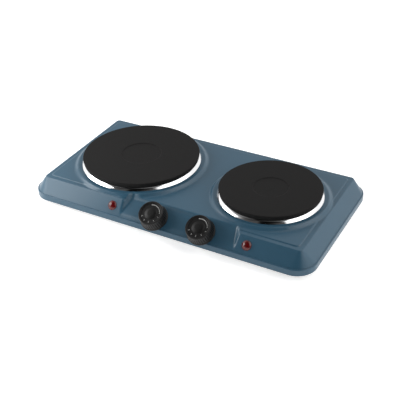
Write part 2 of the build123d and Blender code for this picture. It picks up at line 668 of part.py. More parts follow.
# ---- electrical ---------------------------------------------------------------------------------
def make_cord_bush():
    """Cable bush: slides up the notch on its grooves, with a tapered tail and an open bore."""
    back = GLAND_TAIL_Y - DEPTH / 2
    inner = -SHEET - GLAND_COLLAR_T
    collar = GLAND_COLLAR_R
    outline = [
        (GLAND_BORE_R, inner), (collar, inner), (collar, -SHEET), (GLAND_NECK_R, -SHEET),
        (GLAND_NECK_R, 0), (collar, 0), (collar, 2.5), (collar - 0.8, 3.2), (4.9, back), (GLAND_BORE_R, back),
    ]
    bush = turned(outline)
    for z in (5.0, 7.4, 9.8):
        bush = bush - tube(collar + 2, 4.7, z, z + 1.0)
    drop = GLAND_Z - SKIRT_Z
    bore = disc(GLAND_BORE_R, inner - 1, back + 1)
    for half, z0, z1 in ((collar, inner, -SHEET), (GLAND_NECK_R, -SHEET, 0), (collar, 0, 2.5)):
        bush = bush + (block(-half, half, 0, drop, z0, z1) - bore)
    return Plane(origin=(GLAND_X, DEPTH / 2, GLAND_Z), x_dir=(1, 0, 0), z_dir=(0, 1, 0)) * bush


def make_mains_block():
    """Three-way screw terminal block on the base plate."""
    half = 1.5 * MAINS_PITCH + 2.0
    y0 = MAINS_Y - MAINS_W / 2
    body = block(MAINS_X - half, MAINS_X + half, y0, y0 + MAINS_W, BASE_TOP, BASE_TOP + MAINS_H)
    body = fillet(body.edges().group_by(Axis.Z)[-1], 1.0)
    for x in MAINS_WAYS:
        body = body - disc(MAINS_SCREW_R + FIT, BASE_TOP + MAINS_FLOOR, PLATE_TOP_Z, x, MAINS_Y)
    return body


def make_mains_screws():
    """Slotted clamping screws in the wells of the block."""
    screws = []
    top = BASE_TOP + MAINS_H - 1.5
    for x in MAINS_WAYS:
        screw = disc(MAINS_SCREW_R, BASE_TOP + MAINS_FLOOR, top, x, MAINS_Y)
        screws.append(screw - Pos(x, MAINS_Y, top) * Box(6, 0.8, 1.6))
    return group(screws)


def make_earth_tag():
    """Ring tag on the base plate with an upturned tab for the earth wire."""
    x, y = EARTH_PLACE
    ring = tube(5.0, M4_R + FIT, BASE_TOP, BASE_TOP + 0.8, x, y)
    tab = block(x + 4.0, x + 12.0, y - 2.5, y + 2.5, BASE_TOP, BASE_TOP + 0.8)
    upright = block(x + 11.2, x + 12.0, y - 2.5, y + 2.5, BASE_TOP, BASE_TOP + 7.5)
    return ring + tab + upright - disc(M4_R + FIT, 0, PLATE_TOP_Z, x, y)


def make_earth_screw():
    """Pan-head screw that clamps the earth tag to the base plate."""
    x, y = EARTH_PLACE
    head = disc(3.8, BASE_TOP + 0.8, BASE_TOP + 3.2, x, y)
    head = fillet(head.edges().group_by(Axis.Z)[-1], 0.8)
    screw = head + disc(M4_R, BASE_Z - 1.0, BASE_TOP + 0.8, x, y)
    return screw - Pos(x, y, BASE_TOP + 3.2) * Box(6, 1.0, 1.6)


def way_port(way, z, lane=0.0):
    """Where a wire meets the front face of the mains block."""
    return (MAINS_WAYS[way] + lane, MAINS_Y - MAINS_W / 2, z)


def tab_port(side, pin):
    """Where a wire meets the lower end of a plate's terminal tab."""
    dx, dy = PINS[pin]
    return (PLATES[side][0] + dx, dy, PLATE_TOP_Z - PLATE_DEPTH - COVER_SHEET - TERMINAL_H - 8.0)


def leaf_port(side, local_x, local_z):
    """Where a wire meets a thermostat's leaf or stack, from a place in the panel's frame."""
    return tuple(panel_frame(KNOB_X[side]).from_local_coords(Vector(local_x, 0, local_z)))


def make_live_wires():
    """Mains live to the stack end of both contact leaves."""
    wires = []
    for side, lane in (("left", -2.2), ("right", 2.2)):
        start = way_port(0, LIVE_Z, lane)
        end = leaf_port(side, STACK_X + STACK_W, STACK_LOW - LEAF_T / 2)
        points = [start, (start[0], start[1] - 14, LIVE_Z), (end[0] + 14, -40 + 6 * lane, LIVE_Z),
                  (end[0] + 14, end[1] + 14, LIVE_Z), (end[0] + 8, end[1], end[2]), end]
        wires.append(wire(points, WIRE_R, 4.0))
    return group(wires)


def make_heater_wires():
    """Fixed contacts to the nearest terminal tab of each plate."""
    wires = []
    for side, pin in (("left", 3), ("right", 0)):
        start = leaf_port(side, -18, -14.3)
        end = tab_port(side, pin)
        points = [start, (start[0] - 7, start[1], start[2]), (start[0] - 12, -78, HEATER_Z),
                  (end[0], -54, HEATER_Z), (end[0], end[1], HEATER_Z), end]
        wires.append(wire(points, WIRE_R, 3.0))
    return group(wires)


def make_neutral_wires():
    """Far terminal tab of each plate back to the mains block."""
    wires = []
    for side, pin, lane in (("left", 0, -2.2), ("right", 3, 2.2)):
        start = tab_port(side, pin)
        end = way_port(1, NEUTRAL_Z, lane)
        points = [start, (start[0], start[1], NEUTRAL_Z), (start[0], -12.0, NEUTRAL_Z),
                  (end[0], -4.0, NEUTRAL_Z), end]
        wires.append(wire(points, WIRE_R, 3.0))
    return group(wires)


def make_earth_wire():
    """Mains earth from the back of the block to the tag on the base plate."""
    start = (MAINS_WAYS[2], MAINS_Y + MAINS_W / 2, LIVE_Z)
    x, y = EARTH_PLACE
    end = (x + 12.0, y, BASE_TOP + 5.0)
    points = [start, (start[0], start[1] + 10, start[2]), (start[0] - 40, 92, start[2]),
              (end[0] + 12, end[1], end[2]), end]
    return wire(points, WIRE_R, 5.0)


def make_lamp_wires():
    """Thin pair from each pilot lamp to the mains block."""
    wires = []
    for side, way, sign in (("left", 0, -1), ("right", 2, 1)):
        for lane in (-1.2, 1.2):
            frame = fascia_frame(LAMP_X[side])
            start = frame.from_local_coords(Vector(lane, 0, -12.0))
            down = frame.from_local_coords(Vector(lane, 0, -16.0))
            end = way_port(way, LAMP_WIRE_Z, 3.2 * sign + lane)
            points = [tuple(start), tuple(down), (down.X, -70 - sign * lane, LAMP_WIRE_Z),
                      (end[0], 20 + sign * lane, LAMP_WIRE_Z), end]
            wires.append(wire(points, THIN_WIRE_R, 3.0))
    return group(wires)


# ---- all nodes ----------------------------------------------------------------------------------
def all_parts():
    """Every node with its shape."""
    parts = {
        "top_housing": make_top_housing(),
        "base_plate": make_base_plate(),
        "base_clips": make_base_clips(),
        "base_screws": make_base_screws(),
        "rubber_feet": make_rubber_feet(),
        "foot_screws": make_foot_screws(),
        "foot_nuts": make_foot_nuts(),
        "strap_washers": make_strap_washers(),
        "strap_nuts": make_strap_nuts(),
        "thermostat_screws": make_thermostat_screws(),
        "lamp_washers": make_lamp_washers(),
        "cord_bush": make_cord_bush(),
        "mains_block": make_mains_block(),
        "mains_screws": make_mains_screws(),
        "earth_tag": make_earth_tag(),
        "earth_screw": make_earth_screw(),
        "live_wires": make_live_wires(),
        "heater_wires": make_heater_wires(),
        "neutral_wires": make_neutral_wires(),
        "earth_wire": make_earth_wire(),
        "lamp_wires": make_lamp_wires(),
    }
    plate_makers = {
        "hotplate": make_hotplate, "trim_ring": make_trim_ring, "heating_coil": make_heating_coil,
        "coil_insulation": make_coil_insulation, "cover_disc": make_cover_disc,
        "terminal_block": make_terminal_block, "terminal_pins": make_terminal_pins,
        "clamp_strap": make_clamp_strap, "centre_stud": make_centre_stud,
    }
    control_makers = {
        "thermostat_bracket": make_thermostat_bracket, "shaft_bush": make_shaft_bush,
        "control_shaft": make_control_shaft, "thermostat_stack": make_thermostat_stack,
        "thermostat_leaves": make_thermostat_leaves, "knob": make_knob, "knob_clip": make_knob_clip,
    }
    lamp_makers = {"lamp_lens": make_lamp_lens, "lamp_body": make_lamp_body}
    for side in ("left", "right"):
        for name, maker in plate_makers.items():
            parts[f"{side}_{name}"] = maker(*PLATES[side])
        for name, maker in control_makers.items():
            parts[f"{side}_{name}"] = maker(KNOB_X[side])
        for name, maker in lamp_makers.items():
            parts[f"{side}_{name}"] = maker(LAMP_X[side])
    return parts


os.makedirs("parts", exist_ok=True)
for node, shape in all_parts().items():
    export_step(shape, f"parts/{node}.step")
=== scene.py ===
import bmesh
import bpy
import json
import math
import numpy as np
from mathutils import Matrix, Vector


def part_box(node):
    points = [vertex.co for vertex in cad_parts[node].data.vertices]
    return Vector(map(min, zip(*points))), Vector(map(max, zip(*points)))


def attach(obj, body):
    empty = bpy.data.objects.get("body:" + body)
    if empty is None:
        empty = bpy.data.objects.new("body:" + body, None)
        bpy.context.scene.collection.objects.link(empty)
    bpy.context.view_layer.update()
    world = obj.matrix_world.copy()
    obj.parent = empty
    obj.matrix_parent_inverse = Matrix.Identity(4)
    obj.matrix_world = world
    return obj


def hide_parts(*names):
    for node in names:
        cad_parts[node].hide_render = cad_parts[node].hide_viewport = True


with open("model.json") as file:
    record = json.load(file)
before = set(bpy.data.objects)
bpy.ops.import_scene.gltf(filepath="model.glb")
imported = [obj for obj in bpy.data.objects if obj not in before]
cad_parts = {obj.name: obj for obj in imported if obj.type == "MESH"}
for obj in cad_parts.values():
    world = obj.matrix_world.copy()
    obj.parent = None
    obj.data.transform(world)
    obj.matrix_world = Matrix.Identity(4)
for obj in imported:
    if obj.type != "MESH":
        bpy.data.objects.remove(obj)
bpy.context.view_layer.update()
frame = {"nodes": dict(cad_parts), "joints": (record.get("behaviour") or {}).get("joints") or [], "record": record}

MM = 0.001

# ---- sizes of the design, in millimetres --------------------------------------------------------
SHEET = 1.0               # thickness of the housing
SKIRT_Z = 6.4             # lower edge of the housing
SHOULDER_Z = 16.4         # ledge between the skirt and the sloped sides
SHOULDER_W = 2.0
SHOULDER_ROUND = 1.2
BASE_CORNER_R = 31.0      # corners of the footprint
CREASE_Z = 37.5           # edge between the sloped sides and the top
CREASE_LENGTH = 432.5
CREASE_DEPTH = 208.2
CREASE_R = 5.0
EDGE_ROUND = 1.6          # bend at the crease
STEP_W = 6.5              # margin between the crease and the raised plateau
STEP_RUN = 1.2
STEP_SOFT = 0.35
PLATEAU_Z = 38.7          # flat part of the top
PLATEAU_R = 5.0
RIM_Z = 42.6              # raised rims that carry the rings
RIM_WIDTH = 8.6
RIM_FOOT_W = 8.0          # concave foot of a rim
RIM_LIP = 0.4             # the rim stays flat this far past its width
RIM_CURVE = 2.4           # power of the rim's concave foot
HOLE_INSET = 3.9          # plate holes are this much smaller than the plates
RING_OUT = 2.0            # rings reach this far past the plates
RING_SHEET = 0.8
COLLAR_FIT = 0.3          # from the edge of the hole
COLLAR_H = 3.5            # below the top of the rim
PLATE_SIDE_H = 6.8
PLATE_DEPTH = 17.0        # whole height of the casting
PLATE_CAST = 7.0          # thickness over the coil
PLATE_LIP = 0.6           # drop of the cone under the plate's side
PLATE_LAND = 5.4          # inner end of that cone, from the plate's edge
DISH_DEPTH = 0.9
CHANNEL_IN = 26.0         # coil channel: inner radius, and its distance from the edge
CHANNEL_OUT = 11.0
STUD_R = 3.0              # bore for the stud, under the middle
CONTROL_X = 26.5          # middle of the recess with the knobs
PANEL_TILT = 32.0         # degrees from level, for the floor of the recess
PANEL_Y = -121.0          # front edge of that floor
PANEL_Z = 18.0
PANEL_BACK_Y = -91.5      # its back edge
RECESS_HALF = 96.0
RECESS_TAPER_X = 8.0      # end walls lean in by this much
KNOB_BASE_R = 21.3        # foot, grip and top of the knobs
KNOB_BODY_R = 20.3
KNOB_TOP_R = 18.6
KNOB_H = 19.0
KNOB_SINK = 1.9           # sunk face that carries the marks
KNOB_GAP = 0.8            # air between a knob and the floor of the recess
KNOB_RIBS = 36
KNOB_WALL = 2.6
KNOB_ROOF = 3.6           # thickness over the hollow back
BOSS_R = 5.6
BOSS_FOOT = 4.2
SHAFT_R = 3.0
SHAFT_TOP = 13.5
SHAFT_FIT = 0.05
SHAFT_END_FIT = 0.2
BUSH_R = 4.5              # brass bush round a shaft
SCREW_SPACING = 22.0      # screws of a thermostat
FIT = 0.1                 # clearance of the holes
M3_R = 1.5
LAMP_R = 7.1
LAMP_DOME_H = 3.9
LAMP_EDGE_H = 0.7
LAMP_STEM_H = 7.0         # stem below the lens
LAMP_HOLE_R = 4.6
LAMP_WALL = 1.0
LAMP_OFFSET = 111.5       # lamps, from the middle of the recess
GLAND_X = -120.0          # cord bush in the back
GLAND_Z = 15.0
GLAND_NECK_R = 5.6
PAD_HALF = 9.5            # upright pad round the cord bush
PAD_Z = 24.0

housing_low, housing_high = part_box("top_housing")
LENGTH = (housing_high.x - housing_low.x) / MM
DEPTH = (housing_high.y - housing_low.y) / MM
PLATE_TOP_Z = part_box("left_hotplate")[1].z / MM
TILT = math.radians(PANEL_TILT)
SIDES = ("left", "right")


def plate_place(side):
    """Centre X and radius of a hotplate."""
    low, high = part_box(f"{side}_hotplate")
    return (low.x + high.x) / 2 / MM, (high.x - low.x) / 2 / MM


PLATES = {side: plate_place(side) for side in SIDES}
LAMP_X = {"left": CONTROL_X - LAMP_OFFSET, "right": CONTROL_X + LAMP_OFFSET}


# ---- camera and light ---------------------------------------------------------------------------
CAMERA_AT = Vector((0.52612, -0.92258, 0.69982))
CAMERA_YAW = math.radians(29.59)
CAMERA_PITCH = math.radians(33.58)
CAMERA_ROLL = math.radians(-1.70)
CAMERA_SENSOR = 36.0
CAMERA_LENS = 72.78


def make_camera():
    """Camera from the right of the front, looking down on the object."""
    data = bpy.data.cameras.new("camera")
    data.lens = CAMERA_LENS
    data.sensor_width = CAMERA_SENSOR
    data.clip_start = 0.05
    data.clip_end = 20.0
    camera = bpy.data.objects.new("camera", data)
    bpy.context.scene.collection.objects.link(camera)
    forward = Vector((-math.sin(CAMERA_YAW) * math.cos(CAMERA_PITCH),
                      math.cos(CAMERA_YAW) * math.cos(CAMERA_PITCH), -math.sin(CAMERA_PITCH)))
    level = Vector((math.cos(CAMERA_YAW), math.sin(CAMERA_YAW), 0.0))
    lift = level.cross(forward)
    right = math.cos(CAMERA_ROLL) * level + math.sin(CAMERA_ROLL) * lift
    up = -math.sin(CAMERA_ROLL) * level + math.cos(CAMERA_ROLL) * lift
    axes = Matrix((right, up, -forward)).transposed()
    camera.matrix_world = Matrix.Translation(CAMERA_AT) @ axes.to_4x4()
    bpy.context.scene.camera = camera


def direction(azimuth, elevation):
    """Unit vector: azimuth in degrees from the front (-Y) towards +X, elevation from level."""
    a = math.radians(azimuth)
    e = math.radians(elevation)
    return Vector((math.sin(a) * math.cos(e), -math.cos(a) * math.cos(e), math.sin(e)))


WORLD_LEVEL = 0.62        # brightness of the room
# Zones of the room: direction, cosines of the outer and inner edge, and the change inside.
GLOWS = [
    (direction(140, 16), 0.40, 0.86, 0.55),
    (direction(94, 54), 0.72, 0.95, 1.15),
    (direction(-84, 14), 0.50, 0.88, 0.65),
]
SHADES = [
    (direction(30, 16), 0.90, 0.945, 0.04),
    (direction(30, 46), 0.90, 0.945, 0.04),
    (direction(30, 76), 0.90, 0.945, 0.10),
    (direction(-10, 32), 0.76, 0.93, 0.12),
    (direction(-66, 66), 0.84, 0.95, 0.20),
]


def make_world():
    """White room: brighter to the left, to the right and behind, and dark in front and above."""
    world = bpy.data.worlds.new("studio")
    bpy.context.scene.world = world
    world.use_nodes = True
    tree = world.node_tree
    way = tree.nodes.new("ShaderNodeTexCoord").outputs["Generated"]

    def math_node(operation, first, second):
        made = tree.nodes.new("ShaderNodeMath")
        made.operation = operation
        tree.links.new(first, made.inputs[0])
        tree.links.new(second, made.inputs[1])
        return made.outputs["Value"]

    def zone(toward, outer, inner, at_outer, at_inner):
        dot = tree.nodes.new("ShaderNodeVectorMath")
        dot.operation = "DOT_PRODUCT"
        dot.inputs[1].default_value = toward
        ramp = tree.nodes.new("ShaderNodeMapRange")
        ramp.interpolation_type = "SMOOTHSTEP"
        ramp.inputs["From Min"].default_value = outer
        ramp.inputs["From Max"].default_value = inner
        ramp.inputs["To Min"].default_value = at_outer
        ramp.inputs["To Max"].default_value = at_inner
        tree.links.new(way, dot.inputs[0])
        tree.links.new(dot.outputs["Value"], ramp.inputs["Value"])
        return ramp.outputs["Result"]

    level = tree.nodes.new("ShaderNodeValue").outputs["Value"]
    level.default_value = WORLD_LEVEL
    for toward, outer, inner, added in GLOWS:
        level = math_node("ADD", level, zone(toward, outer, inner, 0.0, added))
    for toward, outer, inner, left_over in SHADES:
        level = math_node("MULTIPLY", level, zone(toward, outer, inner, 1.0, left_over))
    background = tree.nodes["Background"]
    background.inputs["Color"].default_value = (1.0, 1.0, 1.0, 1.0)
    tree.links.new(level, background.inputs["Strength"])


def make_softbox(name, azimuth, elevation, distance, width, height, energy):
    """Rectangular lamp that faces the object."""
    data = bpy.data.lights.new(name, "AREA")
    data.shape = "RECTANGLE"
    data.size = width
    data.size_y = height
    data.energy = energy
    lamp = bpy.data.objects.new(name, data)
    away = direction(azimuth, elevation)
    lamp.location = away * distance
    lamp.rotation_euler = away.to_track_quat("Z", "Y").to_euler()
    bpy.context.scene.collection.objects.link(lamp)


def make_lights():
    """One near softbox on the left, a little to the front."""
    make_softbox("key", azimuth=-60, elevation=27, distance=0.62, width=0.42, height=0.34, energy=2.0)


# ---- materials ----------------------------------------------------------------------------------
class Look:
    """A node material with a Principled shader and short calls for the usual nodes."""

    def __init__(self, name, **sockets):
        self.name = name
        self.material = bpy.data.materials.new(name)
        self.material.use_nodes = True
        self.tree = self.material.node_tree
        self.shader = self.tree.nodes["Principled BSDF"]
        self.coords = self.node("ShaderNodeTexCoord").outputs["Object"]
        for socket, value in sockets.items():
            self.shader.inputs[socket.replace("_", " ")].default_value = value

    def node(self, kind, **settings):
        """New node with its settings."""
        made = self.tree.nodes.new(kind)
        for key, value in settings.items():
            setattr(made, key, value)
        return made

    def link(self, output, entry):
        self.tree.links.new(output, entry)

    def noise(self, scale, detail=3.0, vector=None):
        """Noise by place on the piece; scale is in features per metre."""
        made = self.node("ShaderNodeTexNoise")
        made.inputs["Scale"].default_value = scale
        made.inputs["Detail"].default_value = detail
        self.link(vector or self.coords, made.inputs["Vector"])
        return made.outputs["Fac"]

    def stretched(self, x, y, z):
        """Coordinates scaled along each axis, for a grain."""
        made = self.node("ShaderNodeMapping")
        made.inputs["Scale"].default_value = (x, y, z)
        self.link(self.coords, made.inputs["Vector"])
        return made.outputs["Vector"]

    def radius(self):
        """Vector with the distance from the piece's own axis as X, for a turned grain."""
        flat = self.node("ShaderNodeVectorMath", operation="MULTIPLY")
        flat.inputs[1].default_value = (1.0, 1.0, 0.0)
        self.link(self.coords, flat.inputs[0])
        length = self.node("ShaderNodeVectorMath", operation="LENGTH")
        self.link(flat.outputs["Vector"], length.inputs[0])
        joined = self.node("ShaderNodeCombineXYZ")
        self.link(length.outputs["Value"], joined.inputs["X"])
        return joined.outputs["Vector"]

    def ranged(self, value, low, high, start=0.3, stop=0.7):
        """Value from start..stop mapped to low..high."""
        made = self.node("ShaderNodeMapRange")
        made.inputs["From Min"].default_value = start
        made.inputs["From Max"].default_value = stop
        made.inputs["To Min"].default_value = low
        made.inputs["To Max"].default_value = high
        self.link(value, made.inputs["Value"])
        return made.outputs["Result"]

    def mixed(self, factor, first, second):
        """Two colours, or a colour output and a colour, mixed by a factor."""
        made = self.node("ShaderNodeMix", data_type="RGBA")
        self.link(factor, made.inputs["Factor"])
        for entry, color in (("A", first), ("B", second)):
            socket = next(s for s in made.inputs if s.name == entry and s.type == "RGBA")
            if isinstance(color, tuple):
                socket.default_value = (*color, 1.0)
            else:
                self.link(color, socket)
        return next(s for s in made.outputs if s.type == "RGBA")

    def color(self, output):
        self.link(output, self.shader.inputs["Base Color"])

    def rough(self, output):
        self.link(output, self.shader.inputs["Roughness"])

    def bump(self, height, depth, strength=1.0):
        """Adds relief; depth is in metres, and calls stack."""
        made = self.node("ShaderNodeBump")
        made.inputs["Strength"].default_value = strength
        made.inputs["Distance"].default_value = depth
        self.link(height, made.inputs["Height"])
        entry = self.shader.inputs["Normal"]
        if entry.is_linked:
            self.link(entry.links[0].from_socket, made.inputs["Normal"])
        self.link(made.outputs["Normal"], entry)
        return self


def blue_paint():
    """Stoved paint: slight orange peel, a little mottling and slow changes of gloss."""
    look = Look("blue_paint", Specular_IOR_Level=0.5)
    mottle = look.ranged(look.noise(9.0, 4.0), 0.0, 1.0)
    look.color(look.mixed(mottle, (0.0305, 0.0905, 0.1430), (0.0340, 0.0975, 0.1530)))
    smears = look.noise(16.0, 1.0, look.stretched(1.0, 2.2, 1.0))
    look.rough(look.ranged(smears, 0.29, 0.32, 0.2, 0.8))
    look.bump(look.noise(520.0, 2.0), 0.00003, 0.5)
    return look.bump(look.noise(90.0, 2.0), 0.00005, 0.4)


def cast_iron():
    """Matt heat-proof coat on turned iron: fine rings and a pale speckle."""
    look = Look("cast_iron", Specular_IOR_Level=0.08)
    turned = look.radius()
    rings = look.noise(1500.0, 2.0, turned)
    broad = look.noise(160.0, 3.0, turned)
    speckle = look.noise(1700.0, 2.0)
    share = look.ranged(broad, 0.0, 1.0)
    base = look.mixed(share, (0.0135, 0.0131, 0.0131), (0.0180, 0.0175, 0.0173))
    specks = look.ranged(speckle, 0.0, 0.5, 0.55, 0.8)
    look.color(look.mixed(specks, base, (0.036, 0.035, 0.034)))
    look.rough(look.ranged(broad, 0.58, 0.72))
    look.bump(rings, 0.00006, 0.6)
    return look.bump(speckle, 0.00004, 0.5)


def bright_steel():
    """Polished stainless ring: faint turned lines and a few dull smears."""
    look = Look("bright_steel", Metallic=1.0)
    lines = look.noise(2600.0, 2.0, look.radius())
    smears = look.noise(60.0, 4.0)
    look.color(look.mixed(look.ranged(smears, 0.0, 1.0), (0.86, 0.86, 0.87), (0.78, 0.78, 0.79)))
    look.rough(look.ranged(smears, 0.05, 0.13))
    return look.bump(lines, 0.000006, 0.4)


def moulded(name, dark, light, rough, grain=900.0, depth=0.00003, **sockets):
    """Moulded or drawn surface: a fine grain, and slow changes of colour and gloss."""
    look = Look(name, **sockets)
    slow = look.noise(45.0, 4.0)
    fine = look.noise(grain, 3.0)
    look.color(look.mixed(look.ranged(slow, 0.0, 1.0), dark, light))
    look.rough(look.ranged(fine, rough * 0.82, rough * 1.18))
    return look.bump(fine, depth, 0.6)


def plated(name, dark, light, rough):
    """Plated or rolled metal: a streaky rolling grain with cloudy patches."""
    look = Look(name, Metallic=1.0)
    clouds = look.noise(70.0, 5.0)
    streaks = look.noise(300.0, 3.0, look.stretched(1.0, 9.0, 9.0))
    look.color(look.mixed(look.ranged(clouds, 0.0, 1.0), dark, light))
    look.rough(look.ranged(streaks, rough * 0.75, rough * 1.3))
    return look.bump(streaks, 0.00002, 0.4)


def braided(name, dark, light, rough):
    """Sleeve with a fine woven surface."""
    look = Look(name)
    weave = look.node("ShaderNodeTexVoronoi")
    weave.inputs["Scale"].default_value = 1500.0
    look.link(look.coords, weave.inputs["Vector"])
    cells = weave.outputs["Distance"]
    look.color(look.mixed(look.ranged(cells, 0.0, 1.0, 0.1, 0.7), light, dark))
    look.rough(look.ranged(cells, rough * 0.9, rough * 1.1, 0.1, 0.7))
    return look.bump(cells, 0.00006, 0.6)


def red_lens():
    """Glossy deep red moulding with faint flow lines."""
    look = Look("red_lens", Coat_Weight=0.4, Coat_Roughness=0.12, Specular_IOR_Level=0.35)
    flow = look.noise(220.0, 3.0)
    share = look.ranged(flow, 0.0, 1.0)
    look.color(look.mixed(share, (0.075, 0.0022, 0.0028), (0.135, 0.0045, 0.0055)))
    look.rough(look.ranged(flow, 0.10, 0.18))
    return look.bump(flow, 0.00003, 0.3)


def make_looks():
    """Every material by its slot's name."""
    looks = [
        blue_paint(), cast_iron(), bright_steel(), red_lens(),
        moulded("black_plastic", (0.0055, 0.0054, 0.0054), (0.0100, 0.0097, 0.0097), 0.42, 1400.0,
                0.00005, Specular_IOR_Level=0.26),
        moulded("print_white", (0.52, 0.52, 0.51), (0.62, 0.62, 0.61), 0.55, 2400.0, 0.00001),
        moulded("pressed_ceramic", (0.60, 0.57, 0.50), (0.75, 0.72, 0.66), 0.85, 1200.0, 0.0001),
        moulded("ceramic", (0.78, 0.76, 0.70), (0.86, 0.85, 0.81), 0.22, 500.0, 0.00002),
        moulded("lamp_white", (0.72, 0.70, 0.66), (0.80, 0.78, 0.74), 0.45),
        moulded("foot_rubber", (0.42, 0.41, 0.38), (0.54, 0.53, 0.49), 0.75, 700.0, 0.00006),
        moulded("bush_rubber", (0.012, 0.012, 0.012), (0.024, 0.024, 0.023), 0.62, 800.0, 0.00006),
        moulded("terminal_plastic", (0.70, 0.69, 0.64), (0.80, 0.79, 0.75), 0.48),
        plated("resistance_wire", (0.16, 0.15, 0.14), (0.27, 0.25, 0.23), 0.5),
        plated("zinc_steel", (0.52, 0.53, 0.55), (0.66, 0.66, 0.63), 0.34),
        plated("nickel", (0.56, 0.52, 0.44), (0.66, 0.62, 0.55), 0.30),
        plated("brass", (0.60, 0.42, 0.15), (0.76, 0.56, 0.24), 0.26),
        braided("white_sleeve", (0.50, 0.48, 0.42), (0.80, 0.78, 0.72), 0.8),
        moulded("brown_sleeve", (0.14, 0.06, 0.03), (0.22, 0.10, 0.05), 0.5),
        moulded("blue_sleeve", (0.03, 0.08, 0.30), (0.06, 0.14, 0.42), 0.5),
        moulded("green_sleeve", (0.07, 0.30, 0.05), (0.16, 0.42, 0.08), 0.5),
    ]
    return {look.name: look.material for look in looks}


# ---- mesh helpers -------------------------------------------------------------------------------
ON_AXIS = 1e-6            # radius, in millimetres


def facing(normal):
    """Turn that brings local Z to the normal and keeps local X along the length."""
    across = Vector((1, 0, 0))
    return Matrix((across, normal.cross(across), normal)).transposed().to_4x4()


def add_piece(name, mesh, material, body="housing", place=Matrix.Identity(4), sharp=38.0):
    """Puts a mesh in the scene as a piece that rides on a body."""
    mesh.materials.clear()
    mesh.materials.append(material)
    mesh.shade_smooth()
    mesh.set_sharp_from_angle(angle=math.radians(sharp))
    piece = bpy.data.objects.new(name, mesh)
    piece.matrix_world = place
    bpy.context.scene.collection.objects.link(piece)
    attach(piece, body)
    return piece


def rounded(points, steps=6):
    """Closed outline whose corners are rounded: each point is (r, z) or (r, z, rounding)."""
    outline = []
    for i, point in enumerate(points):
        here = Vector(point[:2])
        if len(point) == 2:
            outline.append(tuple(here))
            continue
        before = Vector(points[i - 1][:2]) - here
        after = Vector(points[(i + 1) % len(points)][:2]) - here
        turn = math.pi - before.angle(after)
        cut = min(point[2] * math.tan(turn / 2), 0.48 * before.length, 0.48 * after.length)
        start = here + before.normalized() * cut
        stop = here + after.normalized() * cut
        for k in range(steps + 1):
            t = k / steps
            spot = (1 - t) ** 2 * start + 2 * t * (1 - t) * here + t ** 2 * stop
            outline.append(tuple(spot))
    return outline


def divided(outline, spacing):
    """The closed outline with its long stretches divided evenly."""
    points = []
    for i, start in enumerate(outline):
        stop = outline[(i + 1) % len(outline)]
        parts = max(1, round(math.dist(start, stop) / spacing))
        run = stop[0] - start[0]
        rise = stop[1] - start[1]
        points += [(start[0] + run * (k / parts), start[1] + rise * (k / parts)) for k in range(parts)]
    return points


def fix_normals(mesh):
    """Turns every face outward."""
    work = bmesh.new()
    work.from_mesh(mesh)
    bmesh.ops.recalc_face_normals(work, faces=work.faces)
    work.to_mesh(mesh)
    work.free()
    mesh.update()


def lathe(name, outline, segments, shape=None):
    """Closed surface of revolution of a closed (r, z) outline in millimetres.

    shape(radius, height, angles) may return changed radii for one loop of the surface."""
    angles = np.arange(segments) * 2 * math.pi / segments
    vertices = []
    loops = []
    for radius, height in outline:
        if radius < ON_AXIS:
            loops.append([len(vertices)])
            vertices.append((0.0, 0.0, height * MM))
            continue
        radii = np.full(segments, float(radius)) if shape is None else shape(radius, height, angles)
        loops.append(list(range(len(vertices), len(vertices) + segments)))
        ring = np.stack([radii * np.cos(angles), radii * np.sin(angles), np.full(segments, height)], 1)
        vertices.extend(map(tuple, ring * MM))
    faces = []
    for low, high in zip(loops, loops[1:] + loops[:1]):
        if len(low) == 1 and len(high) == 1:
            continue
        for i in range(segments):
            j = (i + 1) % segments
            if len(low) == 1:
                faces.append((low[0], high[j], high[i]))
            elif len(high) == 1:
                faces.append((low[i], low[j], high[0]))
            else:
                faces.append((low[i], low[j], high[j], high[i]))
    mesh = bpy.data.meshes.new(name)
    mesh.from_pydata(vertices, [], faces)
    fix_normals(mesh)
    return mesh


def evaluated_mesh(source):
    """Mesh of an object with its modifiers or text made real."""
    bpy.context.view_layer.update()
    return bpy.data.meshes.new_from_object(source.evaluated_get(bpy.context.evaluated_depsgraph_get()))


def join_meshes(name, meshes):
    """One mesh from several, which are removed."""
    work = bmesh.new()
    for mesh in meshes:
        work.from_mesh(mesh)
        bpy.data.meshes.remove(mesh)
    joined = bpy.data.meshes.new(name)
    work.to_mesh(joined)
    work.free()
    return joined


# ---- housing ------------------------------------------------------------------------------------
SPACING = 1.6             # between the points of the mesh
CORNER_STEPS = 14
SHOULDER_ROWS = 6         # rows of points across each stretch of the section
SLOPE_ROWS = 22
EDGE_ROWS = 7
STEP_ROWS = 7
FINE_SPACING = 1.1        # outer rows of the plateau, up to this far in from the crease
FINE_INSET = 20
ON_SKIRT = -50.0          # inset that marks the loops of the skirt
SKIRT_HEIGHTS = (SKIRT_Z, SKIRT_Z + 0.4, 9.0, 12.0, 14.0)
MARGIN_START = 2.0        # rows between the crease and the plateau
MARGIN_SPACING = 1.0
BACK_WALL_SLOPE = 1.3
RIM_FADE = 0.2            # share of a rim's height in which it blends in at its foot
CREASE_FADE = (0.2, 2.6)  # insets between which the rims fade in
RIM_SOFT = 0.6            # widths of the rounded corners between surfaces
PANEL_SOFT = 1.6
WALL_SOFT = 3.0
RECESS_SOFT = 2.0
PAD_SOFT = 0.9
PAD_SOFT_IN = 0.6
PAD_SPREAD = 0.3          # lift of the rows that the pad brings together
HOLE_MARGIN = 4.0         # the mesh reaches this far into the plate holes
PLATE_DRILL = 9.0         # half lengths of the tools
DRILL = 6.0
SLIVER = 4e-6             # in metres


def smooth_min(a, b, width):
    """Lower of two heights, with the corner between them rounded."""
    near = np.maximum(width - np.abs(a - b), 0.0) / width
    return np.minimum(a, b) - near * near * width / 4


